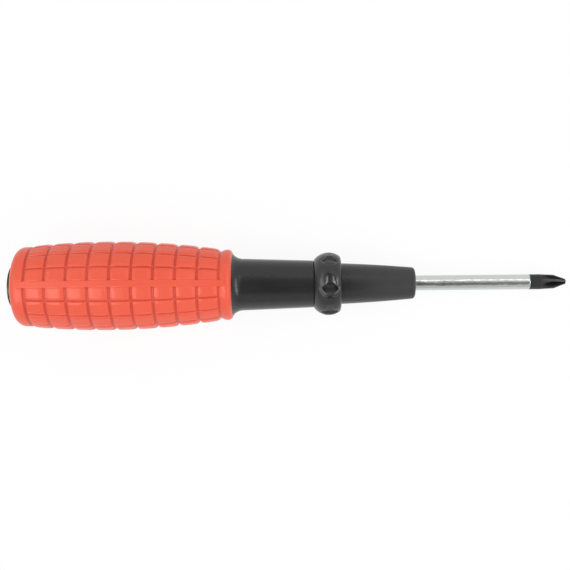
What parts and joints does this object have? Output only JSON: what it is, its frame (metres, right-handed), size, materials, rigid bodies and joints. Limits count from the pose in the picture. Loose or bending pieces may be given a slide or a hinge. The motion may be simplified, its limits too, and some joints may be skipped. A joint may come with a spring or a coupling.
{
  "type": "pocket screwdriver",
  "caption": "Pocket screwdriver with a blocky rubber grip, slim black barrel, pitted finger collar and a round reversible blade that pulls out of the nose.",
  "frame": {"origin": "on the tool's axis, at the centre of the nose's front face, where the blade leaves the handle", "axes": "+X along the axis toward the cross tip, +Z toward the side that the picture shows, +Y up in the picture"},
  "size_m": [0.1482, 0.0238, 0.0238],
  "materials": {
    "blade_chrome": "polished, with blackened tips",
    "body_plastic": "satin",
    "grip_rubber": "soft matte",
    "collar_rubber": "satin",
    "spring_steel": "bright"
  },
  "bodies": {
    "handle": {"handle_core": "body_plastic", "grip_sleeve": "grip_rubber", "collar_ring": "collar_rubber", "end_cap": "body_plastic", "spring_ring": "spring_steel", "friction_ball": "spring_steel"},
    "blade": {"blade": "blade_chrome"}
  },
  "joints": [
    {"name": "blade_pull", "type": "slide", "parent": "handle", "child": "blade", "axis": [1, 0, 0], "range_m": [0, 0.0517]}
  ]
}
